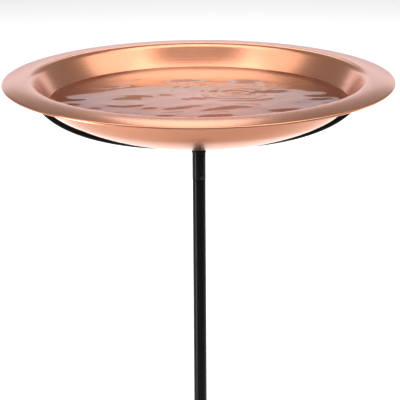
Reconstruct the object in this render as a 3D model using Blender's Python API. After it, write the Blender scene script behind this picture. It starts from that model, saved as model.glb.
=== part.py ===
"""Bird bath: a spun copper basin in a two-arm steel cradle, on a pole with a pronged ground stake.

Metres, +Z up. The origin is on the pole's axis at soil level, which is the underside of the prongs' arms.
"""

from math import asin, atan2, cos, pi, radians, sin, tan

import bmesh
import bpy
from mathutils import Vector

CLEARANCE = 0.0003           # gap kept between neighbouring pieces

# basin, one piece of spun copper sheet
RIM_HEIGHT = 0.695           # top of the rolled edge above soil
RIM_RADIUS = 0.2285
SHEET = 0.0009
BEAD_RADIUS = 0.0017         # outer radius of the rolled edge
BEAD_CURL = radians(250)
CREST_RADIUS = 0.199         # where the bowl turns over into its flange
CREST_BEND = 0.010
FLANGE_TILT = radians(13)    # the flange is domed and falls this steeply at the rolled edge
BOWL_RADIUS = 0.1895         # semi-axes of the bowl's ellipse
BOWL_DEPTH = 0.0694
BOWL_CURVE_END = 0.165       # the ellipse gives way to the steeper side wall here
WALL_ANGLE = radians(58)
WALL_EASE = 0.011            # handle length of the side wall's curve

# cradle
ROD_RADIUS = 0.003175
ARM_REACH = 0.194
ARM_DEPTH = 0.082            # rod centre under the basin, below the rim
ARM_SQUARENESS = 2.36        # exponent of the arm's superellipse
ARM_STRAIGHT_DROP = 0.016    # the arm runs straight from here to its end
ARM_END_DROP = 0.0052        # rod end below the rim
CAP_WALL = 0.0012
CAP_LENGTH = 0.014
PAD_RADIUS = 0.013
HUB_RADIUS = 0.0086
HUB_THICKNESS = 0.0020
HUB_EDGE = 0.0004            # chamfer of the hub disc
PAD_EDGE = 0.0008
STUB_RADIUS = 0.0078
STUB_LENGTH = 0.034

# pole
POLE_RADIUS = 0.0076
TUBE_BORE = 0.0062
TUBE_EDGE = 0.0003           # chamfer at the ends of the stub and the pole
SPIGOT_RADIUS = 0.0059
SPIGOT_BORE = 0.0044
SPIGOT_ABOVE = 0.030         # length that stands up inside the cradle's stub
SPIGOT_BELOW = 0.034
SPIGOT_EDGE = 0.0006

# set screw in the stub
SCREW_RADIUS = 0.0015
SCREW_HEAD_RADIUS = 0.0026
SCREW_HEAD_HEIGHT = 0.0016
SCREW_RISE = 0.0040          # screw axis above the stub's lower end
SCREW_AZIMUTH = radians(-66)
SCREW_EDGE = 0.0003
SLOT_WIDTH = 0.0007
SLOT_RISE = 1.1              # height of the slot cutter's middle, in head heights

# ground stake
COLLAR_RADIUS = 0.0105
COLLAR_TOP = 0.020
COLLAR_EDGE = 0.0012
PRONG_REACH = 0.105
PRONG_LENGTH = 0.118         # tip below soil level
PRONG_BEND = 0.012
PRONG_LEAN = 0.003           # how far the tip leans in towards the pole
PRONG_POINT = 0.014
PRONG_TIP_SHARE = 0.12       # how thick the drawn tip is, as a share of the bar
PRONG_ANGLES = {"left": 180, "back": 60, "front": 300}
POINT_TIP = -0.127
POINT_SHOULDER = -0.104
POINT_WIDEST = -0.114
POINT_HALF_WIDTH = 0.0100
POINT_HALF_THICKNESS = 0.0052
POINT_PLUG = 0.020
POINT_PLUG_EDGE = 0.0008
POINT_LAND = 0.0020          # length of the shoulder that is as wide as the pole
POINT_TIP_HALF_WIDTH = 0.0010
POINT_TIP_HALF_THICKNESS = 0.0008

STUB_TOP = RIM_HEIGHT - ARM_DEPTH - ROD_RADIUS - HUB_THICKNESS - 2 * CLEARANCE
STUB_BOTTOM = STUB_TOP - STUB_LENGTH
POLE_TOP = STUB_BOTTOM - CLEARANCE

COPPER = ("copper", (0.86, 0.47, 0.30, 1), 1.0, 0.2)
BLACK_STEEL = ("black_steel", (0.012, 0.012, 0.014, 1), 0.0, 0.38)
BLACK_RUBBER = ("black_rubber", (0.02, 0.02, 0.02, 1), 0.0, 0.8)
ZINC = ("zinc_screw", (0.30, 0.30, 0.31, 1), 1.0, 0.4)


# ---------------------------------------------------------------- materials and objects

def clear_scene():
    for thing in list(bpy.data.objects):
        bpy.data.objects.remove(thing, do_unlink=True)


def material(look):
    name, color, metallic, roughness = look
    made = bpy.data.materials.get(name)
    if made is None:
        made = bpy.data.materials.new(name)
        made.use_nodes = True
        surface = made.node_tree.nodes["Principled BSDF"]
        surface.inputs["Base Color"].default_value = color
        surface.inputs["Metallic"].default_value = metallic
        surface.inputs["Roughness"].default_value = roughness
    return made


def add_object(name, data, look, parent, place=(0, 0, 0), turn=(0, 0, 0)):
    data.materials.append(material(look))
    thing = bpy.data.objects.new(name, data)
    thing.location = place
    thing.rotation_euler = turn
    thing.parent = parent
    bpy.context.collection.objects.link(thing)
    return thing


def add_empty(name, parent=None, place=(0, 0, 0), turn=(0, 0, 0)):
    empty = bpy.data.objects.new(name, None)
    empty.location = place
    empty.rotation_euler = turn
    empty.parent = parent
    bpy.context.collection.objects.link(empty)
    return empty


# ---------------------------------------------------------------- shapes

def mesh_from(bm, name):
    bmesh.ops.recalc_face_normals(bm, faces=bm.faces)
    mesh = bpy.data.meshes.new(name)
    bm.to_mesh(mesh)
    bm.free()
    mesh.shade_smooth()
    mesh.set_sharp_from_angle(angle=radians(35))
    return mesh


def turned(name, outline, segments=48, closed=False):
    """A body turned about Z from (radius, height) points; an open outline starts and ends on the axis."""
    bm = bmesh.new()
    verts = [bm.verts.new((radius, 0, height)) for radius, height in outline]
    edges = [bm.edges.new(pair) for pair in zip(verts, verts[1:])]
    if closed:
        edges.append(bm.edges.new((verts[-1], verts[0])))
    bmesh.ops.spin(bm, geom=verts + edges, cent=(0, 0, 0), axis=(0, 0, 1), angle=2 * pi,
                   steps=segments, use_merge=True)
    bmesh.ops.remove_doubles(bm, verts=bm.verts, dist=1e-6)
    return mesh_from(bm, name)


def tube(name, outer, bore, bottom, top, edge, segments=48):
    """A straight tube whose outer ends have a chamfer of width edge."""
    outline = [
        (bore, bottom), (outer - edge, bottom), (outer, bottom + edge),
        (outer, top - edge), (outer - edge, top), (bore, top),
    ]
    return turned(name, outline, segments, closed=True)


def rod(name, points, radius, taper_length=0.0, sides=16):
    """A round bar along the points, with flat ends, drawn out to a point over taper_length at its far end."""
    curve = bpy.data.curves.new(name, "CURVE")
    curve.dimensions = "3D"
    curve.bevel_depth = radius
    curve.bevel_resolution = sides // 2 - 2
    curve.use_fill_caps = True
    spline = curve.splines.new("POLY")
    spline.points.add(len(points) - 1)
    for control, point in zip(spline.points, points):
        control.co = (*point, 1)
        to_end = (Vector(points[-1]) - Vector(point)).length
        if to_end < taper_length:
            control.radius = PRONG_TIP_SHARE + (1 - PRONG_TIP_SHARE) * to_end / taper_length
    spline.use_smooth = True
    return curve


def arc(centre, radius, start, end, steps):
    """Points (across, up) on an arc between two angles, both ends included."""
    angles = [start + (end - start) * step / steps for step in range(steps + 1)]
    return [(centre[0] + radius * cos(angle), centre[1] + radius * sin(angle)) for angle in angles]


def bezier(start, handle_a, handle_b, end, steps):
    """Points inside a cubic curve, without its two ends."""
    points = []
    for step in range(1, steps):
        t = step / steps
        weights = ((1 - t) ** 3, 3 * t * (1 - t) ** 2, 3 * t * t * (1 - t), t ** 3)
        corners = (start, handle_a, handle_b, end)
        points.append(tuple(sum(w * c[axis] for w, c in zip(weights, corners)) for axis in (0, 1)))
    return points


def offset(line, distance):
    """The line moved sideways by distance, to its left; its first point stays on the axis."""
    moved = []
    for index, point in enumerate(line):
        before = line[max(index - 1, 0)]
        after = line[min(index + 1, len(line) - 1)]
        along = Vector((after[0] - before[0], after[1] - before[1])).normalized()
        if index == 0:
            along = Vector((1, 0))
        moved.append((point[0] - along.y * distance, point[1] + along.x * distance))
    return moved


# ---------------------------------------------------------------- basin

def basin_sheet_line():
    """The middle of the sheet from the bowl's centre to the end of the rolled edge, heights from the rim."""
    line = []
    last_angle = asin(BOWL_CURVE_END / BOWL_RADIUS)
    bowl_steps = 10
    for step in range(bowl_steps + 1):
        angle = last_angle * step / bowl_steps
        line.append((BOWL_RADIUS * sin(angle), -BOWL_DEPTH * cos(angle)))

    bead_centre = (RIM_RADIUS - BEAD_RADIUS, -BEAD_RADIUS)
    bead_middle = BEAD_RADIUS - SHEET / 2
    flange_end = arc(bead_centre, bead_middle, pi / 2 - FLANGE_TILT, pi / 2 - FLANGE_TILT, 1)[0]
    dome_radius = (flange_end[0] - CREST_RADIUS) / sin(FLANGE_TILT)
    dome_centre = (CREST_RADIUS, flange_end[1] - dome_radius * cos(FLANGE_TILT))
    bend_centre = (CREST_RADIUS, dome_centre[1] + dome_radius - CREST_BEND)

    ellipse_end = line[-1]
    slope = Vector((BOWL_RADIUS * cos(last_angle), BOWL_DEPTH * sin(last_angle))).normalized()
    bend_start = WALL_ANGLE + pi / 2
    wall_end = arc(bend_centre, CREST_BEND, bend_start, bend_start, 1)[0]
    handle_a = (ellipse_end[0] + WALL_EASE * slope.x, ellipse_end[1] + WALL_EASE * slope.y)
    handle_b = (wall_end[0] - WALL_EASE * cos(WALL_ANGLE), wall_end[1] - WALL_EASE * sin(WALL_ANGLE))
    line += bezier(ellipse_end, handle_a, handle_b, wall_end, 4)
    line += arc(bend_centre, CREST_BEND, bend_start, pi / 2, 5)
    line += arc(dome_centre, dome_radius, pi / 2, pi / 2 - FLANGE_TILT, 4)[1:-1]
    line += arc(bead_centre, bead_middle, pi / 2 - FLANGE_TILT, pi / 2 - FLANGE_TILT - BEAD_CURL, 7)
    return line


def make_basin(basin):
    """Spun bowl, flange and rolled edge, from one sheet."""
    line = basin_sheet_line()
    outline = offset(line, -SHEET / 2) + offset(line, SHEET / 2)[::-1]
    add_object("basin_shell", turned("basin_shell", outline, segments=88), COPPER, basin)


# ---------------------------------------------------------------- cradle

def arm_point(angle):
    """Rod centre (reach, height from the rim) along the arm, 0 at the hub and 90 degrees at the rim."""
    power = 2 / ARM_SQUARENESS
    return ARM_REACH * sin(angle) ** power, -ARM_DEPTH * cos(angle) ** power


def arm_points():
    """The curved run from beside the hub, then the straight end that carries the cap."""
    last = pi / 2 - asin((ARM_STRAIGHT_DROP / ARM_DEPTH) ** (ARM_SQUARENESS / 2))
    steps = 36
    first_reach = ROD_RADIUS + CLEARANCE
    points = [(first_reach, -ARM_DEPTH)]
    for step in range(1, steps + 1):
        reach, height = arm_point(last * step / steps)
        if reach > first_reach + ROD_RADIUS:
            points.append((reach, height))
    tilt = arm_end_tilt(points)
    rise = ARM_STRAIGHT_DROP - ARM_END_DROP
    points.append((points[-1][0] + rise * tan(tilt), -ARM_END_DROP))
    return points


def arm_end_tilt(points):
    """Angle of the last run from upright."""
    before, end = points[-2:]
    return atan2(end[0] - before[0], end[1] - before[1])


def make_cradle(cradle, rim):
    points = arm_points()
    arm_end = points[-1]
    tilt = arm_end_tilt(points)
    for side, turn in (("left", pi), ("right", 0)):
        pivot = add_empty(f"arm_{side}_direction", rim, turn=(0, 0, turn))
        line = [(reach, 0, height) for reach, height in points]
        add_object(f"cradle_arm_{side}", rod(f"cradle_arm_{side}", line, ROD_RADIUS), BLACK_STEEL, pivot)
        add_object(f"arm_cap_{side}", cap_mesh(f"arm_cap_{side}"), BLACK_RUBBER, pivot,
                   place=(arm_end[0], 0, arm_end[1]), turn=(0, tilt, 0))

    hub_bottom = STUB_TOP + CLEARANCE
    hub = turned("cradle_hub", [
        (0, 0), (HUB_RADIUS - HUB_EDGE, 0), (HUB_RADIUS, HUB_EDGE),
        (HUB_RADIUS, HUB_THICKNESS - HUB_EDGE), (HUB_RADIUS - HUB_EDGE, HUB_THICKNESS), (0, HUB_THICKNESS),
    ])
    add_object("cradle_hub", hub, BLACK_STEEL, cradle, place=(0, 0, hub_bottom))

    pad_bottom = -ARM_DEPTH + ROD_RADIUS + CLEARANCE
    pad_top = -BOWL_DEPTH - SHEET / 2 - CLEARANCE
    pad = turned("seat_pad", [
        (0, pad_bottom), (PAD_RADIUS - PAD_EDGE, pad_bottom), (PAD_RADIUS, pad_bottom + PAD_EDGE),
        (PAD_RADIUS, pad_top - PAD_EDGE), (PAD_RADIUS - PAD_EDGE, pad_top), (0, pad_top),
    ])
    add_object("seat_pad", pad, BLACK_RUBBER, rim)


def cap_mesh(name):
    """A soft cap on a rod end: origin at the rod's end, open downwards, with a round top under the flange."""
    bore = ROD_RADIUS + CLEARANCE
    outer = bore + CAP_WALL
    dome_start = 2 * CLEARANCE
    outline = [(0, CLEARANCE), (bore, CLEARANCE), (bore, -CAP_LENGTH), (outer, -CAP_LENGTH)]
    outline += arc((0, dome_start), outer, 0, pi / 2, 8)
    return turned(name, outline, segments=32)


def make_stub(cradle, screw_axis):
    """The cradle's tube, with a hole for the set screw near its lower end."""
    stub = add_object("cradle_stub", tube("cradle_stub", STUB_RADIUS, TUBE_BORE, STUB_BOTTOM, STUB_TOP,
                                          TUBE_EDGE), BLACK_STEEL, cradle)
    bm = bmesh.new()
    bmesh.ops.create_cone(bm, cap_ends=True, segments=24, radius1=SCREW_RADIUS + CLEARANCE,
                          radius2=SCREW_RADIUS + CLEARANCE, depth=STUB_RADIUS)
    drill = add_object("screw_hole_cutter", mesh_from(bm, "screw_hole_cutter"), ZINC, screw_axis,
                       place=(0, 0, STUB_RADIUS))
    drill.hide_render = True
    drill.display_type = "WIRE"
    cut = stub.modifiers.new("screw_hole", "BOOLEAN")
    cut.object = drill
    cut.operation = "DIFFERENCE"
    cut.solver = "EXACT"


def make_screw(screw_axis):
    """Round-head set screw; its axis is the empty's Z, pointing out of the stub."""
    tip = SPIGOT_RADIUS + CLEARANCE
    seat = STUB_RADIUS + CLEARANCE
    outline = [(0, tip), (SCREW_RADIUS - SCREW_EDGE, tip), (SCREW_RADIUS, tip + SCREW_EDGE),
               (SCREW_RADIUS, seat), (SCREW_HEAD_RADIUS, seat)]
    for step in range(1, 6):
        angle = pi / 2 * step / 6
        outline.append((SCREW_HEAD_RADIUS * cos(angle), seat + SCREW_HEAD_HEIGHT * sin(angle)))
    outline.append((0, seat + SCREW_HEAD_HEIGHT))
    screw = add_object("set_screw", turned("set_screw", outline, segments=32), ZINC, screw_axis)

    bm = bmesh.new()
    bmesh.ops.create_cube(bm, size=1)
    bmesh.ops.scale(bm, verts=bm.verts, vec=(SLOT_WIDTH, 4 * SCREW_HEAD_RADIUS, SCREW_HEAD_HEIGHT))
    slot = add_object("screw_slot_cutter", mesh_from(bm, "screw_slot_cutter"), ZINC, screw_axis,
                      place=(0, 0, seat + SLOT_RISE * SCREW_HEAD_HEIGHT))
    slot.hide_render = True
    slot.display_type = "WIRE"
    cut = screw.modifiers.new("driver_slot", "BOOLEAN")
    cut.object = slot
    cut.operation = "DIFFERENCE"
    cut.solver = "EXACT"


# ---------------------------------------------------------------- pole and ground stake

def make_pole(stake):
    pole_bottom = POINT_SHOULDER + CLEARANCE
    add_object("pole_tube", tube("pole_tube", POLE_RADIUS, TUBE_BORE, pole_bottom, POLE_TOP, TUBE_EDGE),
               BLACK_STEEL, stake)
    add_object("pole_spigot", tube("pole_spigot", SPIGOT_RADIUS, SPIGOT_BORE, POLE_TOP - SPIGOT_BELOW,
                                   STUB_BOTTOM + SPIGOT_ABOVE, SPIGOT_EDGE), BLACK_STEEL, stake)


def prong_points(start):
    """From the collar straight out, round the bend and down to the tip, in the prong's own plane."""
    height = ROD_RADIUS
    centre = (PRONG_REACH - PRONG_BEND, height - PRONG_BEND)
    points = [(start, 0, height)]
    points += [(across, 0, up) for across, up in arc(centre, PRONG_BEND, pi / 2, 0, 12)]
    leg_top = points[-1]
    point_start = PRONG_LENGTH - PRONG_POINT
    for depth in (point_start / 2, point_start, point_start + PRONG_POINT / 2, PRONG_LENGTH):
        lean = PRONG_LEAN * depth / PRONG_LENGTH
        points.append((leg_top[0] - lean, 0, -depth))
    return points


def make_stake(stake):
    collar_bore = POLE_RADIUS + CLEARANCE
    add_object("prong_collar", tube("prong_collar", COLLAR_RADIUS, collar_bore, -CLEARANCE, COLLAR_TOP,
                                    COLLAR_EDGE), BLACK_STEEL, stake)
    for side, degrees in PRONG_ANGLES.items():
        direction = add_empty(f"prong_{side}_direction", stake, turn=(0, 0, radians(degrees)))
        bar = rod(f"prong_{side}", prong_points(COLLAR_RADIUS + CLEARANCE), ROD_RADIUS, PRONG_POINT)
        add_object(f"prong_{side}", bar, BLACK_STEEL, direction)
    add_object("ground_point", ground_point(), BLACK_STEEL, stake)


def ground_point():
    """Forged point: a plug up inside the pole, a shoulder, then a flattened diamond down to the tip."""
    plug_radius = TUBE_BORE - CLEARANCE
    plug_top = POINT_SHOULDER + POINT_PLUG
    sections = [
        (plug_top, plug_radius - POINT_PLUG_EDGE, plug_radius - POINT_PLUG_EDGE),
        (plug_top - POINT_PLUG_EDGE, plug_radius, plug_radius),
        (POINT_SHOULDER, plug_radius, plug_radius),
        (POINT_SHOULDER, POLE_RADIUS, POLE_RADIUS),
        (POINT_SHOULDER - POINT_LAND, POLE_RADIUS, POLE_RADIUS),
        (POINT_WIDEST, POINT_HALF_WIDTH, POINT_HALF_THICKNESS),
        (POINT_TIP, POINT_TIP_HALF_WIDTH, POINT_TIP_HALF_THICKNESS),
    ]
    sides = 32
    bm = bmesh.new()
    loops = []
    for height, half_width, half_thickness in sections:
        angles = [2 * pi * side / sides for side in range(sides)]
        ring = [bm.verts.new((half_width * cos(angle), half_thickness * sin(angle), height)) for angle in angles]
        loops.append([bm.edges.new((ring[side - 1], ring[side])) for side in range(sides)])
    for upper, lower in zip(loops, loops[1:]):
        bmesh.ops.bridge_loops(bm, edges=upper + lower)
    bmesh.ops.contextual_create(bm, geom=loops[0])
    bmesh.ops.contextual_create(bm, geom=loops[-1])
    return mesh_from(bm, "ground_point")


def main():
    clear_scene()
    stake = add_empty("stake")
    cradle = add_empty("cradle_turn_axis", stake)
    rim = add_empty("rim_plane", cradle, place=(0, 0, RIM_HEIGHT))
    basin = add_empty("basin_lift_axis", rim)
    screw_axis = add_empty("screw_axis", cradle, place=(0, 0, STUB_BOTTOM + SCREW_RISE),
                           turn=(0, pi / 2, SCREW_AZIMUTH))
    make_basin(basin)
    make_cradle(cradle, rim)
    make_stub(cradle, screw_axis)
    make_screw(screw_axis)
    make_pole(stake)
    make_stake(stake)
    bpy.context.view_layer.update()


main()
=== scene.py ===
import math

import bmesh
import bpy
from mathutils import Matrix, Vector, noise


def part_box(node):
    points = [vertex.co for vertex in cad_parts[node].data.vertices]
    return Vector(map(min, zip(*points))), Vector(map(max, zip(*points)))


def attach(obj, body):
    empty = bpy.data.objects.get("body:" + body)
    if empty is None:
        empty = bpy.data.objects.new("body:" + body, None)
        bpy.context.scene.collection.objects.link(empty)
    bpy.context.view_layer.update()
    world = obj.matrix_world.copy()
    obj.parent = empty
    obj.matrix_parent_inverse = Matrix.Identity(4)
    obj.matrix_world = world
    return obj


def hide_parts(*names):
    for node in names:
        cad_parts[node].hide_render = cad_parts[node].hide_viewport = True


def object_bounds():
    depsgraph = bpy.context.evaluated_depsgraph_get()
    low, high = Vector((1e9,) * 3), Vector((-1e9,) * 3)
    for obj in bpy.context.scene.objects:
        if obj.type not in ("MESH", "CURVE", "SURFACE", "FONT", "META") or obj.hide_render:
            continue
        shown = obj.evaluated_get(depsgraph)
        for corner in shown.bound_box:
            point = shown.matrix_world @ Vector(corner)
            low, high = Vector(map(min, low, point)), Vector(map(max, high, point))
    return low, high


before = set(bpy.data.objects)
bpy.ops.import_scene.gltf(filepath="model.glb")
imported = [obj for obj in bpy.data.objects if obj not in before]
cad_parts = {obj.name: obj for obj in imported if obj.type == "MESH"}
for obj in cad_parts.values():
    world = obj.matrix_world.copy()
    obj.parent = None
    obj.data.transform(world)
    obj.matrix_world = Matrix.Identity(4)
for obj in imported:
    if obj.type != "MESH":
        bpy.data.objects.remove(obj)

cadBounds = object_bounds()
print("frame loaded:", len(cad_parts), "nodes")


def boxOf(node):
    low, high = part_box(node)
    return Vector(low), Vector(high)


class Wire:
    # a shader socket that can be used in ordinary arithmetic
    def __init__(self, finish, socket):
        self.finish = finish
        self.socket = socket

    def calc(self, operation, first, second=0.0):
        return self.finish.node("ShaderNodeMath", {"operation": operation}, {0: first, 1: second})

    def __add__(self, other):
        return self.calc("ADD", self, other)

    def __radd__(self, other):
        return self.calc("ADD", other, self)

    def __sub__(self, other):
        return self.calc("SUBTRACT", self, other)

    def __rsub__(self, other):
        return self.calc("SUBTRACT", other, self)

    def __mul__(self, other):
        return self.calc("MULTIPLY", self, other)

    def __rmul__(self, other):
        return self.calc("MULTIPLY", other, self)

    def __truediv__(self, other):
        return self.calc("DIVIDE", self, other)

    def __rtruediv__(self, other):
        return self.calc("DIVIDE", other, self)

    def __pow__(self, other):
        return self.calc("POWER", self, other)

    def clamped(self, low=0.0, high=1.0):
        return self.calc("MINIMUM", self.calc("MAXIMUM", self, low), high)


class Finish:
    # one material, built node by node
    def __init__(self, name, **sockets):
        self.material = bpy.data.materials.new(name)
        self.material.use_nodes = True
        self.tree = self.material.node_tree
        self.surface = self.tree.nodes["Principled BSDF"]
        for key, value in sockets.items():
            self.plug(self.surface.inputs[key.replace("_", " ")], value)

    def plug(self, socket, value):
        if isinstance(value, Wire):
            self.tree.links.new(value.socket, socket)
        else:
            socket.default_value = value

    def node(self, kind, settings=None, inputs=None, output=0):
        made = self.tree.nodes.new(kind)
        for key, value in (settings or {}).items():
            setattr(made, key, value)
        for key, value in (inputs or {}).items():
            self.plug(made.inputs[key], value)
        return Wire(self, made.outputs[output])

    def objectPlace(self, centre=(0, 0, 0)):
        coords = self.node("ShaderNodeTexCoord", output="Object")
        shift = tuple(-value for value in centre)
        return self.node("ShaderNodeMapping", {}, {"Vector": coords, "Location": shift})

    def noise(self, vector, scale, detail, roughness):
        settings = {"noise_dimensions": "3D"}
        sockets = {"Vector": vector, "Scale": scale, "Detail": detail, "Roughness": roughness}
        return self.node("ShaderNodeTexNoise", settings, sockets)

    def mixColor(self, factor, first, second):
        sockets = {0: factor, 6: first, 7: second}      # the colour sockets of a Mix node
        return self.node("ShaderNodeMix", {"data_type": "RGBA"}, sockets, output=2)

    def bump(self, height, distance):
        normal = self.node("ShaderNodeBump", {}, {"Height": height, "Distance": distance, "Strength": 1.0})
        self.plug(self.surface.inputs["Normal"], normal)

    def give(self, socketName, value):
        self.plug(self.surface.inputs[socketName], value)


def meshPiece(name, bm, finish, body, replaced, sharp=35.0):
    mesh = bpy.data.meshes.new(name)
    bm.to_mesh(mesh)
    bm.free()
    mesh.shade_smooth()
    mesh.set_sharp_from_angle(angle=math.radians(sharp))
    mesh.materials.append(finish.material)
    piece = bpy.data.objects.new(name, mesh)
    bpy.context.scene.collection.objects.link(piece)
    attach(piece, body)
    if replaced:
        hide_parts(*replaced)


def turned(outline, steps, closed=False):
    # a body turned about Z from (radius, height) points; an open outline starts and ends on the axis
    bm = bmesh.new()
    verts = [bm.verts.new((radius, 0, height)) for radius, height in outline]
    edges = [bm.edges.new(pair) for pair in zip(verts, verts[1:])]
    if closed:
        edges.append(bm.edges.new((verts[-1], verts[0])))
    bmesh.ops.spin(bm, geom=verts + edges, cent=(0, 0, 0), axis=(0, 0, 1), angle=2 * math.pi,
                   steps=steps, use_merge=True)
    bmesh.ops.remove_doubles(bm, verts=bm.verts, dist=1e-6)
    bmesh.ops.recalc_face_normals(bm, faces=bm.faces)
    return bm


def arcPoints(centre, radius, start, end, steps):
    angles = [start + (end - start) * step / steps for step in range(steps + 1)]
    return [(centre[0] + radius * math.cos(angle), centre[1] + radius * math.sin(angle)) for angle in angles]


def curvePoints(corners, steps):
    # inner points of the cubic curve that has these two ends and two handles
    points = []
    for step in range(1, steps):
        t = step / steps
        weights = ((1 - t) ** 3, 3 * t * (1 - t) ** 2, 3 * t * t * (1 - t), t ** 3)
        points.append(tuple(sum(w * c[axis] for w, c in zip(weights, corners)) for axis in (0, 1)))
    return points


def offsetLine(line, distance):
    # the same line moved sideways; it leaves the axis square to it
    moved = []
    for index, point in enumerate(line):
        before = line[max(index - 1, 0)]
        after = line[min(index + 1, len(line) - 1)]
        along = Vector((after[0] - before[0], after[1] - before[1])).normalized()
        if index == 0:
            along = Vector((1, 0))
        moved.append((point[0] - along.y * distance, point[1] + along.x * distance))
    return moved


camera = {
    "distance": 2.00, "rimElevation": 12.75, "pitch": 16.80, "swing": 1.6, "roll": 0.36,
    "lens": 154.1, "pan": 0.027, "sensor": 36, "farthest": 200,
}
basinLow, basinHigh = boxOf("basin_shell")
basin = {
    "rimRadius": basinHigh.x, "sheet": 0.0009, "beadRadius": 0.0017, "beadCurl": 250,
    "crestRadius": 0.199, "crestBend": 0.010, "flangeTilt": 13, "wallAngle": 58, "wallEase": 0.011,
    "bowlRadius": 0.1895, "curveEnd": 0.165, "waterDrop": 0.0235,
}


def flangeRound():
    # the bead's centre and the domed flange's arc, heights from the rim: (beadCentre, domeCentre, domeRadius)
    tilt = math.radians(basin["flangeTilt"])
    beadMiddle = basin["beadRadius"] - basin["sheet"] / 2
    beadCentre = (basin["rimRadius"] - basin["beadRadius"], -basin["beadRadius"])
    end = (beadCentre[0] + beadMiddle * math.sin(tilt), beadCentre[1] + beadMiddle * math.cos(tilt))
    domeRadius = (end[0] - basin["crestRadius"]) / math.sin(tilt)
    return beadCentre, (basin["crestRadius"], end[1] - domeRadius * math.cos(tilt)), domeRadius


crestRise = flangeRound()[1][1] + flangeRound()[2] + basin["sheet"] / 2
rimHeight = basinHigh.z - crestRise


def placeCamera():
    swing = math.radians(camera["swing"])
    elevation = math.radians(camera["rimElevation"])
    pitch = math.radians(camera["pitch"])
    roll = math.radians(camera["roll"])
    pan = math.radians(camera["pan"])
    level = Vector((math.sin(swing + pan), math.cos(swing + pan), 0))
    stand = Vector((math.sin(swing), math.cos(swing), 0))
    place = Vector((0, 0, rimHeight)) + camera["distance"] * (
        Vector((0, 0, math.sin(elevation))) - stand * math.cos(elevation))
    forward = level * math.cos(pitch) - Vector((0, 0, math.sin(pitch)))
    right = forward.cross(Vector((0, 0, 1))).normalized()
    up = right.cross(forward)
    rolledRight = right * math.cos(roll) - up * math.sin(roll)
    rolledUp = right * math.sin(roll) + up * math.cos(roll)
    eyeData = bpy.data.cameras.new("eye")
    eyeData.lens = camera["lens"]
    eyeData.sensor_width = camera["sensor"]
    eyeData.clip_end = camera["farthest"]
    eye = bpy.data.objects.new("eye", eyeData)
    turn = Matrix((rolledRight, rolledUp, -forward)).transposed()
    eye.matrix_world = Matrix.Translation(place) @ turn.to_4x4()
    bpy.context.scene.collection.objects.link(eye)
    bpy.context.scene.camera = eye


placeCamera()

studio = {
    "floorRadius": 14.0, "floorDrop": 0.0005, "floorColor": (0.86, 0.86, 0.86, 1),
    "worldGlow": 0.36, "contrast": 1.3,
    # name: (place, what it faces, width and height, glow, color)
    "boxes": {
        "overheadBox": ((0, -0.2, 2.9), (0, -0.19, 0.7), (3.0, 1.6), 1.5, (1, 1, 1)),
        "frontRightBox": ((1.40, -0.51, 2.04), (0, 0, 0.7), (2.2, 0.95), 1.1, (1, 1, 1)),
        "frontLeftBox": ((-1.42, -0.44, 2.04), (0, 0, 0.7), (1.7, 1.0), 0.95, (1, 1, 1)),
        "frontBox": ((0, -1.4, 2.1), (0, 0, 0.7), (1.0, 0.8), 0.45, (1, 1, 1)),
        "backBox": ((0, 1.89, 2.18), (0, 0, 0.7), (0.56, 1.0), 1.3, (1, 1, 1)),
        "upperBackdrop": ((0, 4.2, 1.63), (0, 0, 1.63), (6.0, 0.53), 0.98, (0.88, 0.89, 1.0)),
        "lowerBackdrop": ((0, 4.2, 0.755), (0, 0, 0.755), (6.0, 1.22), 0.44, (0.95, 0.88, 1.0)),
        "nearFloorBox": ((0, 0.75, 1.9), (0, 1.68, 1.53), (5.0, 1.0), 3.8, (1, 1, 1)),
        "farFloorBox": ((0, 3.2, 3.0), (0, 3.8, 2.2), (7.0, 2.0), 3.3, (1, 1, 1)),
        "leftStrip": ((-0.95, -0.38, 0.31), (0, 0, 0.31), (0.30, 0.87), 5.0, (1, 1, 1)),
        "rightStrip": ((1.0, 0.12, 0.31), (0, 0, 0.31), (0.22, 0.87), 1.1, (1, 1, 1)),
    },
}


def softBox(name, place, target, size, glow, color):
    # a rectangular soft box whose face has the given radiance
    lamp = bpy.data.lights.new(name, "AREA")
    lamp.shape = "RECTANGLE"
    lamp.size, lamp.size_y = size
    lamp.energy = glow * math.pi * size[0] * size[1]
    lamp.color = color
    holder = bpy.data.objects.new(name, lamp)
    holder.location = place
    toTarget = Vector(target) - Vector(place)
    holder.rotation_euler = toTarget.to_track_quat("-Z", "Y").to_euler()
    bpy.context.scene.collection.objects.link(holder)


def makeStudio():
    floorHeight = cadBounds[0][2] - studio["floorDrop"]
    bm = bmesh.new()
    bmesh.ops.create_circle(bm, cap_ends=True, radius=studio["floorRadius"], segments=96,
                            matrix=Matrix.Translation((0, 0, floorHeight)))
    mesh = bpy.data.meshes.new("studioFloor")
    bm.to_mesh(mesh)
    bm.free()
    paper = Finish("floorPaper", Base_Color=studio["floorColor"], Roughness=0.9)
    paper.give("Specular IOR Level", 0.1)
    mesh.materials.append(paper.material)
    floor = bpy.data.objects.new("studioFloor", mesh)
    bpy.context.scene.collection.objects.link(floor)

    world = bpy.data.worlds.new("studioWorld")
    bpy.context.scene.world = world
    world.use_nodes = True
    sky = world.node_tree.nodes["Background"]
    sky.inputs["Color"].default_value = (1, 1, 1, 1)
    sky.inputs["Strength"].default_value = studio["worldGlow"]
    for name, settings in studio["boxes"].items():
        softBox(name, *settings)


makeStudio()
bpy.context.scene.view_settings.view_transform = "Standard"
bpy.context.scene.view_settings.gamma = 1 / studio["contrast"]
print("camera, floor and lights placed")


def ringRadius(finish, place):
    x = finish.node("ShaderNodeSeparateXYZ", {}, {0: place}, output="X")
    y = finish.node("ShaderNodeSeparateXYZ", {}, {0: place}, output="Y")
    return (x * x + y * y) ** 0.5


insideMark = "insideFace"       # the basin's own attribute: 1 on the side that holds water, 0 elsewhere


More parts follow.
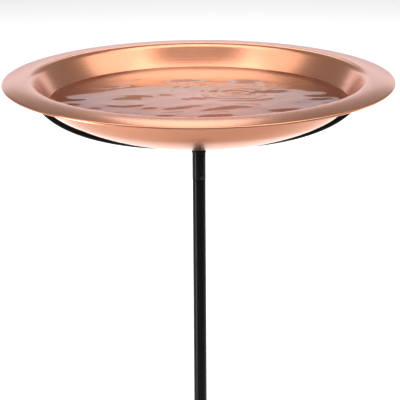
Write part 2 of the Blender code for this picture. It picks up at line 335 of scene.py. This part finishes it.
def copperFinish():
    # spun and buffed copper: fine rings from the buffing wheel, faint clouding where it has been handled
    copper = Finish("spunCopper", Metallic=1.0)
    copper.give("Coat Weight", 0.6)
    copper.give("Coat Roughness", 0.14)
    place = copper.objectPlace((0, 0, rimHeight))
    radius = ringRadius(copper, place)
    height = copper.node("ShaderNodeSeparateXYZ", {}, {0: place}, output="Z")
    ringVector = copper.node("ShaderNodeCombineXYZ", {}, {0: radius, 1: height, 2: 0.0})
    fineRings = copper.noise(ringVector, scale=2600.0, detail=2.0, roughness=0.6)
    broadRings = copper.noise(ringVector, scale=210.0, detail=3.0, roughness=0.55)
    clouds = copper.noise(place, scale=9.0, detail=4.0, roughness=0.6)
    specks = copper.noise(place, scale=420.0, detail=2.0, roughness=0.5)
    uneven = (clouds * 0.7 + broadRings * 0.3).clamped()
    copper.give("Base Color", copper.mixColor(uneven, (0.90, 0.44, 0.275, 1), (0.955, 0.505, 0.335, 1)))
    # below the waterline the inside has gone dull, over a depth of 2.5 mm
    inside = copper.node("ShaderNodeAttribute", {"attribute_name": insideMark}, output="Fac")
    wet = ((height + basin["waterDrop"]) * -400.0).clamped() * inside
    copper.give("Roughness", 0.19 + fineRings * 0.07 + clouds * 0.05 + specks * 0.02 + wet * 0.16)
    copper.bump(fineRings * 0.35 + broadRings * 1.0 + specks * 0.1, 0.000035)
    return copper


def steelFinish():
    # black powder coat with its faint orange peel
    coat = Finish("blackPowderCoat")
    coat.give("Specular IOR Level", 0.5)
    place = coat.objectPlace()
    peel = coat.noise(place, scale=900.0, detail=2.0, roughness=0.5)
    dust = coat.noise(place, scale=35.0, detail=4.0, roughness=0.6)
    tone = coat.mixColor(dust.clamped(), (0.0015, 0.0015, 0.0018, 1), (0.004, 0.004, 0.0045, 1))
    coat.give("Base Color", tone)
    coat.give("Roughness", 0.22 + peel * 0.08 + dust * 0.08)
    coat.bump(peel, 0.00005)
    return coat


def rubberFinish():
    # moulded rubber, matt and finely grained
    rubber = Finish("blackRubber")
    place = rubber.objectPlace()
    grain = rubber.noise(place, scale=1800.0, detail=3.0, roughness=0.6)
    tone = rubber.mixColor(grain.clamped(), (0.012, 0.012, 0.012, 1), (0.030, 0.029, 0.028, 1))
    rubber.give("Base Color", tone)
    rubber.give("Roughness", 0.62 + grain * 0.2)
    rubber.bump(grain, 0.00004)
    return rubber


def zincFinish():
    # blackened zinc plate, dull and patchy
    zinc = Finish("zincPlate", Metallic=1.0)
    place = zinc.objectPlace()
    patches = zinc.noise(place, scale=700.0, detail=3.0, roughness=0.6)
    zinc.give("Base Color", zinc.mixColor(patches.clamped(), (0.07, 0.07, 0.077, 1), (0.14, 0.14, 0.15, 1)))
    zinc.give("Roughness", 0.30 + patches * 0.25)
    zinc.bump(patches, 0.00002)
    return zinc


def waterFinish():
    # clear water; its ripples are in its mesh
    water = Finish("basinWater", Base_Color=(0.97, 0.985, 0.99, 1), Roughness=0.0, IOR=1.333)
    water.give("Transmission Weight", 1.0)
    return water


copperLook = copperFinish()
steelLook = steelFinish()
rubberLook = rubberFinish()
zincLook = zincFinish()
waterLook = waterFinish()
print("finishes made")


def sheetLine(curveSteps=64, wallSteps=18, bendSteps=16, domeSteps=22, beadSteps=18):
    # middle of the copper sheet from the bowl's centre to the end of the rolled edge
    depth = rimHeight - basinLow.z - basin["sheet"] / 2
    lastAngle = math.asin(basin["curveEnd"] / basin["bowlRadius"])
    line = []
    for step in range(curveSteps + 1):
        angle = lastAngle * step / curveSteps
        line.append((basin["bowlRadius"] * math.sin(angle), -depth * math.cos(angle)))
    curveEnd = line[-1]
    slope = Vector((basin["bowlRadius"] * math.cos(lastAngle), depth * math.sin(lastAngle))).normalized()
    wallAngle = math.radians(basin["wallAngle"])
    tilt = math.radians(basin["flangeTilt"])
    beadCentre, domeCentre, domeRadius = flangeRound()
    bendCentre = (basin["crestRadius"], domeCentre[1] + domeRadius - basin["crestBend"])
    bendStart = wallAngle + math.pi / 2
    wallEnd = arcPoints(bendCentre, basin["crestBend"], bendStart, bendStart, 1)[0]
    ease = basin["wallEase"]
    handles = [
        curveEnd, (curveEnd[0] + ease * slope.x, curveEnd[1] + ease * slope.y),
        (wallEnd[0] - ease * math.cos(wallAngle), wallEnd[1] - ease * math.sin(wallAngle)), wallEnd,
    ]
    line += curvePoints(handles, wallSteps)
    line += arcPoints(bendCentre, basin["crestBend"], bendStart, math.pi / 2, bendSteps)
    beadStart = math.pi / 2 - tilt
    line += arcPoints(domeCentre, domeRadius, math.pi / 2, beadStart, domeSteps)[1:-1]
    beadMiddle = basin["beadRadius"] - basin["sheet"] / 2
    beadEnd = beadStart - math.radians(basin["beadCurl"])
    return line + arcPoints(beadCentre, beadMiddle, beadStart, beadEnd, beadSteps)


def makeBasin():
    line = sheetLine()
    half = basin["sheet"] / 2
    outline = offsetLine(line, -half) + offsetLine(line, half)[::-1]
    bm = turned([(radius, rimHeight + height) for radius, height in outline], 256)
    mark = bm.verts.layers.float.new(insideMark)
    bm.normal_update()
    for vert in bm.verts:
        vert[mark] = float(vert.normal.z > 0)
    meshPiece("basinBowl", bm, copperLook, "basin", ["basin_shell"])


ripples = {
    # (centre x, centre y, wavelength, height, reach)
    "rings": [(0.045, 0.030, 0.014, 0.00022, 0.035), (-0.085, -0.012, 0.022, 0.00012, 0.040),
              (0.020, -0.075, 0.030, 0.00010, 0.060)],
    # (direction x, direction y, wavelength, height)
    "swells": [(0.15, 1.0, 0.046, 0.00014), (-0.35, 1.0, 0.031, 0.00008), (1.0, 0.35, 0.080, 0.00022)],
    "ringStretch": 1.4, "warp": 0.012, "warpScale": 18, "warpSeed": 3.7,
    "chop": 0.00034, "chopScale": (26, 40), "chopSeed": 1.3,
    # near the copper the ripples fade, over this width and down to this share
    "calmWidth": 0.03, "shore": 0.25,
    "meshRings": 90, "meshSteps": 240,
}


def rippleHeight(x, y, edge):
    height = 0.0
    for centreX, centreY, length, size, reach in ripples["rings"]:
        away = math.hypot(x - centreX, (y - centreY) * ripples["ringStretch"])
        height += size * math.sin(2 * math.pi * away / length) * math.exp(-away / reach)
    for alongX, alongY, length, size in ripples["swells"]:
        phase = (x * alongX + y * alongY) / math.hypot(alongX, alongY)
        bend = Vector((x * ripples["warpScale"], y * ripples["warpScale"], ripples["warpSeed"]))
        warp = ripples["warp"] * noise.noise(bend)
        height += size * math.sin(2 * math.pi * (phase + warp) / length)
    calm = min(1.0, max(0.0, (edge - math.hypot(x, y)) / ripples["calmWidth"]))
    acrossScale, alongScale = ripples["chopScale"]
    height += ripples["chop"] * noise.noise(Vector((x * acrossScale, y * alongScale, ripples["chopSeed"])))
    return height * (ripples["shore"] + (1 - ripples["shore"]) * calm)


def makeWater():
    # fills the middle line of the sheet up to the waterline
    level = -basin["waterDrop"]
    line = sheetLine()
    under = [point for point in line if point[1] < level and point[0] < basin["crestRadius"]]
    before = under[-1]
    after = line[len(under)]
    share = (level - before[1]) / (after[1] - before[1])
    edge = before[0] + (after[0] - before[0]) * share
    rings = ripples["meshRings"]
    top = [(edge * step / rings, level) for step in range(rings + 1)]
    outline = top + under[::-1]
    bm = turned([(radius, rimHeight + height) for radius, height in outline], ripples["meshSteps"])
    waterTop = rimHeight + level
    for vert in bm.verts:
        if vert.co.z > waterTop - 1e-6:
            vert.co.z += rippleHeight(vert.co.x, vert.co.y, edge)
    bmesh.ops.recalc_face_normals(bm, faces=bm.faces)
    meshPiece("poolOfWater", bm, waterLook, "basin", [], sharp=60)


makeBasin()
makeWater()
print("basin and water made")


def addPart(bm, part, matrix=Matrix()):
    # joins a separately made part into a piece
    loose = bpy.data.meshes.new("loosePart")
    part.to_mesh(loose)
    part.free()
    loose.transform(matrix)
    bm.from_mesh(loose)
    bpy.data.meshes.remove(loose)


def drawnOut(frames, sides):
    # a closed body: a unit circle drawn from each frame to the next
    bm = bmesh.new()
    verts = bmesh.ops.create_circle(bm, segments=sides, radius=1, matrix=frames[0])["verts"]
    ring = list({edge for vert in verts for edge in vert.link_edges})
    bmesh.ops.contextual_create(bm, geom=ring)
    for old, new in zip(frames, frames[1:]):
        grown = bmesh.ops.extrude_edge_only(bm, edges=ring)["geom"]
        verts = {item for item in grown if isinstance(item, bmesh.types.BMVert)}
        edges = [item for item in grown if isinstance(item, bmesh.types.BMEdge)]
        ring = [edge for edge in edges if set(edge.verts) <= verts]
        bmesh.ops.transform(bm, matrix=new @ old.inverted(), verts=list(verts))
    bmesh.ops.contextual_create(bm, geom=ring)
    bmesh.ops.recalc_face_normals(bm, faces=bm.faces)
    return bm


def sweptBar(path, radii, sides=28, side=(0, 1, 0)):
    # a round bar along a flat path; side is square to the path's plane
    frames = []
    for index, point in enumerate(path):
        before = Vector(path[max(index - 1, 0)])
        after = Vector(path[min(index + 1, len(path) - 1)])
        along = (after - before).normalized()
        across = Vector(side)
        turn = Matrix((across, along.cross(across), along)).transposed().to_4x4()
        frames.append(Matrix.Translation(point) @ turn @ Matrix.Scale(radii[index], 4))
    return drawnOut(frames, sides)


def roundEnds(path, radii, ease, steps=5):
    # the same bar with its two ends rounded over, leaving a flat of a fifth of the radius at least
    def end(tip, inner, radius):
        inward = (Vector(inner) - Vector(tip)).normalized()
        size = min(ease, radius * 0.8)
        angles = [math.pi / 2 * step / steps for step in range(steps + 1)]
        points = [Vector(tip) + inward * size * (1 - math.sin(angle)) for angle in angles]
        return points, [radius - size * (1 - math.cos(angle)) for angle in angles]
    startPath, startRadii = end(path[0], path[1], radii[0])
    endPath, endRadii = end(path[-1], path[-2], radii[-1])
    return startPath[::-1] + list(path[1:-1]) + endPath, startRadii[::-1] + list(radii[1:-1]) + endRadii


weld = {"ringLump": 0.14, "runLump": 0.13, "uneven": 0.12, "unevenScale": 3, "seed": 900, "fade": 0.08}


def weldRing(radius, size, lumps, place):
    # a laid weld bead round a bar: overlapping lumps, none quite alike
    bm = turned(arcPoints((radius, 0), size, 0, 2 * math.pi, 12)[:-1], 120, closed=True)
    for vert in bm.verts:
        angle = math.atan2(vert.co.y, vert.co.x)
        outward = Vector((math.cos(angle), math.sin(angle), 0))
        middle = outward * radius
        unevenness = noise.noise(outward * weld["unevenScale"] + Vector((0, 0, size * weld["seed"])))
        swell = 1 + weld["ringLump"] * (math.sin(lumps * angle) - 1) + weld["uneven"] * unevenness
        vert.co = middle + (vert.co - middle) * swell
    bmesh.ops.translate(bm, verts=bm.verts, vec=place)
    return bm


def weldRun(start, end, size, lumps):
    # a short straight weld bead
    steps = lumps * 6
    path = [Vector(start).lerp(Vector(end), step / steps) for step in range(steps + 1)]
    radii = []
    for step in range(steps + 1):
        fade = math.sin(math.pi * (weld["fade"] + (1 - 2 * weld["fade"]) * step / steps)) ** 0.5
        lump = math.sin(2 * math.pi * lumps * step / steps)
        radii.append(size * fade * (1 + weld["runLump"] * (lump - 1)))
    side = (Vector(end) - Vector(start)).orthogonal().normalized()
    return sweptBar(path, radii, 14, side)


# the cradle: two bent arms welded to a disc on a short tube, with soft caps and a set screw

arm = {
    "rod": 0.003175, "reach": 0.194, "depth": 0.082, "squareness": 2.36, "straightDrop": 0.016,
    "endDrop": 0.0052, "gap": 0.0003, "endEase": 0.0007, "pathSteps": 96,
    # weld beads along the rod: from and to, and side and drop as shares of the rod's radius
    "beadStart": 0.0045, "beadEnd": 0.0082, "beadSide": 0.72, "beadDrop": 0.74,
    "beadSize": 0.00078, "beadLumps": 3,
}
cap = {
    "bore": 0.003475, "outer": 0.004675, "body": 0.0044, "length": 0.014, "lip": 0.0022, "play": 0.0003,
    "edge": 0.0006, "step": 0.0002, "rings": (-0.0095, -0.0065), "ringSize": 0.0003, "ringSink": 0.0001,
    "domeBase": 0.0006,
}
hub = {
    "edge": 0.0007, "weld": 0.0009, "lumps": 22, "weldIn": 0.0001, "weldDrop": 0.0002,
    "fill": 0.0033, "fillHeight": 0.0056, "fillEdge": 0.0014, "fillSink": 0.0003,
}
stub = {"edge": 0.0005, "bore": 0.0062}
pad = {"edge": 0.0012, "groove": 0.0006}


def armPath():
    # middle of the right-hand rod, from the hub out and up to its end
    power = 2 / arm["squareness"]
    last = math.pi / 2 - math.asin((arm["straightDrop"] / arm["depth"]) ** (arm["squareness"] / 2))
    start = arm["rod"] + arm["gap"]
    path = [Vector((start, 0, rimHeight - arm["depth"]))]
    for step in range(1, arm["pathSteps"] + 1):
        angle = last * step / arm["pathSteps"]
        reach = arm["reach"] * math.sin(angle) ** power
        if reach > start + arm["rod"]:
            path.append(Vector((reach, 0, rimHeight - arm["depth"] * math.cos(angle) ** power)))
    way = (path[-1] - path[-2]).normalized()
    rise = arm["straightDrop"] - arm["endDrop"]
    path.append(path[-1] + way * rise / way.z)
    return path


def makeArm(side, turn):
    path = armPath()
    bars, radii = roundEnds(path, [arm["rod"]] * len(path), arm["endEase"])
    spin = Matrix.Rotation(turn, 4, "Z")
    bm = bmesh.new()
    addPart(bm, sweptBar(bars, radii), spin)
    for across in (-1, 1):        # beads that hold the rod down on the hub
        y = across * arm["rod"] * arm["beadSide"]
        z = rimHeight - arm["depth"] - arm["rod"] * arm["beadDrop"]
        start, end = (arm["beadStart"], y, z), (arm["beadEnd"], y, z)
        addPart(bm, weldRun(start, end, arm["beadSize"], arm["beadLumps"]), spin)
    meshPiece(f"cradleArm{side}", bm, steelLook, "cradle", [f"cradle_arm_{side.lower()}"])

    # the cap hangs on the rod's end and leans with it
    tilt = math.atan2(path[-1].x - path[-2].x, path[-1].z - path[-2].z)
    edge, lipTop = cap["edge"], -cap["length"] + cap["lip"]
    outline = [(0, cap["play"]), (cap["bore"], cap["play"]), (cap["bore"], -cap["length"])]
    outline += arcPoints((cap["outer"] - edge, -cap["length"] + edge), edge, -math.pi / 2, 0, 5)
    outline += arcPoints((cap["outer"] - edge, lipTop - edge), edge, 0, math.pi / 2, 5)
    outline += [(cap["body"], lipTop + cap["step"])]
    for height in cap["rings"]:
        middle = (cap["body"] - cap["ringSink"], height)
        outline += arcPoints(middle, cap["ringSize"], -math.pi / 2, math.pi / 2, 6)
    outline += arcPoints((0, cap["domeBase"]), cap["body"], 0, math.pi / 2, 12)
    bm = turned(outline, 48)
    place = spin @ Matrix.Translation(path[-1]) @ Matrix.Rotation(tilt, 4, "Y")
    bmesh.ops.transform(bm, matrix=place, verts=bm.verts)
    meshPiece(f"armCap{side}", bm, rubberLook, "cradle", [f"arm_cap_{side.lower()}"])


def roundedDisc(radius, low, high, edge, steps=5):
    outline = [(0, low)] + arcPoints((radius - edge, low + edge), edge, -math.pi / 2, 0, steps)
    return outline + arcPoints((radius - edge, high - edge), edge, 0, math.pi / 2, steps) + [(0, high)]


def roundedTube(outer, bore, low, high, edge, steps=5):
    outline = [(bore, low)] + arcPoints((outer - edge, low + edge), edge, -math.pi / 2, 0, steps)
    return outline + arcPoints((outer - edge, high - edge), edge, 0, math.pi / 2, steps) + [(bore, high)]


def makeCradle():
    makeArm("Left", math.pi)
    makeArm("Right", 0)
    low, high = boxOf("cradle_hub")
    bm = turned(roundedDisc(high.x, low.z, high.z, hub["edge"]), 72)
    stubLow, stubHigh = boxOf("cradle_stub")
    beadPlace = (0, 0, low.z - hub["weldDrop"])
    addPart(bm, weldRing(stubHigh.x - hub["weldIn"], hub["weld"], hub["lumps"], beadPlace))
    # weld fill between the two rod ends
    fill = roundedDisc(hub["fill"], high.z - hub["fillSink"], high.z + hub["fillHeight"], hub["fillEdge"])
    addPart(bm, turned(fill, 48))
    meshPiece("cradleHub", bm, steelLook, "cradle", ["cradle_hub"])

    outline = roundedTube(stubHigh.x, stub["bore"], stubLow.z, stubHigh.z, stub["edge"])
    bm = turned(outline, 72, closed=True)
    meshPiece("cradleStub", bm, steelLook, "cradle", ["cradle_stub"])

    low, high = boxOf("seat_pad")
    edge, groove = pad["edge"], pad["groove"]
    middle = (low.z + high.z) / 2
    outline = [(0, low.z)] + arcPoints((high.x - edge, low.z + edge), edge, -math.pi / 2, 0, 6)
    outline += arcPoints((high.x, middle), groove, -math.pi / 2, -3 * math.pi / 2, 8)
    outline += arcPoints((high.x - edge, high.z - edge), edge, 0, math.pi / 2, 6) + [(0, high.z)]
    meshPiece("seatPad", turned(outline, 72), rubberLook, "cradle", ["seat_pad"])


screw = {
    "radius": 0.0015, "thread": 0.00022, "pitch": 0.0006, "tip": 0.0062, "seat": 0.0081,
    "tipShare": 0.7, "lead": 0.0003, "headRadius": 0.0026, "headHeight": 0.0016, "headEdge": 0.0003,
    "slotWidth": 0.0007, "slotFloor": 0.00075, "rise": 0.0040, "azimuth": -66, "domeSteps": 12,
}


def makeScrew():
    # built upright, tip down, then laid on its side in the stub's wall
    edge = screw["headEdge"]
    brim = screw["headRadius"] - edge, screw["seat"] + edge
    head = [(brim[0], screw["seat"])] + arcPoints(brim, edge, -math.pi / 2, 0, 4)
    for step in range(1, screw["domeSteps"]):
        angle = math.pi / 2 * step / screw["domeSteps"]
        rise = (screw["headHeight"] - edge) * math.sin(angle)
        head.append((screw["headRadius"] * math.cos(angle), brim[1] + rise))
    outline = [(0, screw["tip"]), (screw["radius"] * screw["tipShare"], screw["tip"])]
    height = screw["tip"] + screw["lead"]
    while height < screw["seat"]:
        root = screw["radius"] - screw["thread"]
        outline += [(screw["radius"], height), (root, height + screw["pitch"] / 2)]
        height += screw["pitch"]
    outline += head + [(0, screw["seat"] + screw["headHeight"])]
    bm = turned(outline, 48)
    half = screw["slotWidth"] / 2
    for across in (-half, half):
        geom = list(bm.verts) + list(bm.edges) + list(bm.faces)
        bmesh.ops.bisect_plane(bm, geom=geom, plane_co=(across, 0, 0), plane_no=(1, 0, 0))
    slotFloor = screw["seat"] + screw["slotFloor"]
    faces = [face for face in bm.faces if abs(face.calc_center_median().x) < half
             and min(vert.co.z for vert in face.verts) > slotFloor]
    grown = bmesh.ops.extrude_face_region(bm, geom=faces)["geom"]
    bmesh.ops.delete(bm, geom=faces, context="FACES_ONLY")
    for item in grown:
        if isinstance(item, bmesh.types.BMVert):
            item.co.z = slotFloor
    turn = Matrix.Rotation(math.radians(screw["azimuth"]), 4, "Z") @ Matrix.Rotation(math.pi / 2, 4, "Y")
    centre = Matrix.Translation((0, 0, boxOf("cradle_stub")[0].z + screw["rise"]))
    bmesh.ops.transform(bm, matrix=centre @ turn, verts=bm.verts)
    bmesh.ops.recalc_face_normals(bm, faces=bm.faces)
    meshPiece("setScrew", bm, zincLook, "screw", ["set_screw"], sharp=40)


makeCradle()
makeScrew()
print("cradle made")


# the pole and the ground stake

pole = {
    "bore": 0.0062, "edge": 0.0005,
    "crimps": (-0.0975, -0.0915), "crimpDepth": 0.00035, "crimpHalf": 0.0011, "crimpSteps": 8,
}
collar = {"bore": 0.0079, "edge": 0.0014, "weld": 0.0011, "lumps": 20, "weldOut": 0.0004, "weldDrop": 0.0002}
prong = {
    "rod": 0.003175, "reach": 0.105, "length": 0.118, "bend": 0.012, "lean": 0.003, "point": 0.014,
    "pointSteps": 8, "pointCurve": 0.85, "tipShare": 0.16, "tipEase": 0.0006,
    "start": 0.0100, "armStop": 0.05, "legStops": (0.03, 0.06),    # the last two ring the straight stretches
    "weld": 0.0010, "lumps": 9, "weldOut": 0.0002,
    "angles": {"Left": 180, "Back": 60, "Front": 300},
}
point = {
    "tip": -0.127, "shoulder": -0.104, "widest": -0.114, "halfWidth": 0.0100, "halfThickness": 0.0052,
    "plugTop": -0.084, "plug": 0.0059, "plugEdge": 0.0008, "shoulderEdge": 0.0003, "land": 0.0020,
    "tipHalf": 0.0008, "widthCurve": 0.9, "thicknessCurve": 0.8, "steps": 8,
    "flatShare": 0.86, "flatRise": 0.006, "dents": 0.00012, "dentScale": 300,
}


def makePole():
    low, high = boxOf("pole_tube")
    outer = high.x
    outline = [(pole["bore"], low.z)]
    outline += arcPoints((outer - pole["edge"], low.z + pole["edge"]), pole["edge"], -math.pi / 2, 0, 5)
    for middle in pole["crimps"]:      # pressed-in rings that hold the ground point
        for step in range(pole["crimpSteps"] + 1):
            share = step / pole["crimpSteps"]
            dip = pole["crimpDepth"] * math.sin(math.pi * share) ** 2
            outline.append((outer - dip, middle + pole["crimpHalf"] * (2 * share - 1)))
    outline += arcPoints((outer - pole["edge"], high.z - pole["edge"]), pole["edge"], 0, math.pi / 2, 5)
    outline.append((pole["bore"], high.z))
    meshPiece("poleTube", turned(outline, 72, closed=True), steelLook, "stake", ["pole_tube"])


def prongPath():
    # middle and radius of a prong: out from the collar, over the bend and down to the point
    leg = prong["reach"]
    centre = (leg - prong["bend"], prong["rod"] - prong["bend"])
    path = [Vector((x, 0, prong["rod"])) for x in (prong["start"], prong["armStop"])]
    path += [Vector((x, 0, z)) for x, z in arcPoints(centre, prong["bend"], math.pi / 2, 0, 20)]
    steps = prong["pointSteps"]
    depths = list(prong["legStops"])
    depths += [prong["length"] - prong["point"] * (1 - step / steps) for step in range(steps + 1)]
    path += [Vector((leg - prong["lean"] * depth / prong["length"], 0, -depth)) for depth in depths]
    radii = []
    for place in path:
        toTip = place.z + prong["length"]
        share = min(1.0, max(0.0, toTip / prong["point"])) if place.x > leg - prong["bend"] else 1.0
        body = (1 - prong["tipShare"]) * share ** prong["pointCurve"]
        radii.append(prong["rod"] * (prong["tipShare"] + body))
    return roundEnds(path, radii, prong["tipEase"])


def makeStake():
    low, high = boxOf("prong_collar")
    bm = turned(roundedTube(high.x, collar["bore"], low.z, high.z, collar["edge"]), 72, closed=True)
    beadRadius = boxOf("pole_tube")[1].x + collar["weldOut"]
    beadPlace = (0, 0, high.z - collar["weldDrop"])
    addPart(bm, weldRing(beadRadius, collar["weld"], collar["lumps"], beadPlace))
    meshPiece("prongCollar", bm, steelLook, "stake", ["prong_collar"])
    path, radii = prongPath()
    atCollar = Matrix.Translation((high.x + prong["weldOut"], 0, prong["rod"]))
    atCollar = atCollar @ Matrix.Rotation(math.pi / 2, 4, "Y")
    for side, degrees in prong["angles"].items():
        spin = Matrix.Rotation(math.radians(degrees), 4, "Z")
        bm = bmesh.new()
        addPart(bm, sweptBar(path, radii), spin)
        addPart(bm, weldRing(prong["rod"], prong["weld"], prong["lumps"], (0, 0, 0)), spin @ atCollar)
        meshPiece(f"prong{side}", bm, steelLook, "stake", [f"prong_{side.lower()}"])


def makeGroundPoint():
    # plug, shoulder, then a forged and flattened diamond down to the tip
    poleRadius = boxOf("pole_tube")[1].x
    edge, plug, steps = point["shoulderEdge"], point["plug"], point["steps"]
    rounds = [
        (point["plugTop"], plug - point["plugEdge"]), (point["plugTop"] - point["plugEdge"], plug),
        (point["shoulder"], plug), (point["shoulder"], poleRadius - edge),
        (point["shoulder"] - edge, poleRadius), (point["shoulder"] - point["land"], poleRadius),
    ]
    sections = [(height, radius, radius) for height, radius in rounds]
    landEnd = rounds[-1][0]
    for step in range(1, steps + 1):
        share = step / steps
        ease = share * share * (3 - 2 * share)
        sections.append((landEnd + (point["widest"] - landEnd) * share,
                         poleRadius + (point["halfWidth"] - poleRadius) * ease,
                         poleRadius + (point["halfThickness"] - poleRadius) * ease))
    for step in range(1, steps + 1):
        share = step / steps
        width = (point["halfWidth"] - point["tipHalf"]) * (1 - share) ** point["widthCurve"]
        thickness = (point["halfThickness"] - point["tipHalf"]) * (1 - share) ** point["thicknessCurve"]
        sections.append((point["widest"] + (point["tip"] - point["widest"]) * share,
                         point["tipHalf"] + width, point["tipHalf"] + thickness))
    frames = [Matrix.Translation((0, 0, height)) @ Matrix.Diagonal((halfWidth, halfThickness, 1, 1))
              for height, halfWidth, halfThickness in sections]
    bm = drawnOut(frames, 48)
    flat = point["halfThickness"] * point["flatShare"]
    for vert in bm.verts:            # the faces that the forge left flat, and its small unevenness
        if vert.co.z < point["widest"] + point["flatRise"]:
            vert.co.y = max(-flat, min(flat, vert.co.y))
            vert.co.y += point["dents"] * noise.noise(vert.co * point["dentScale"])
    meshPiece("groundPoint", bm, steelLook, "stake", ["ground_point"])


makePole()
makeStake()
makeGroundPoint()
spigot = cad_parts["pole_spigot"]
spigot.data.materials.clear()
spigot.data.materials.append(steelLook.material)
print("pole and stake made")
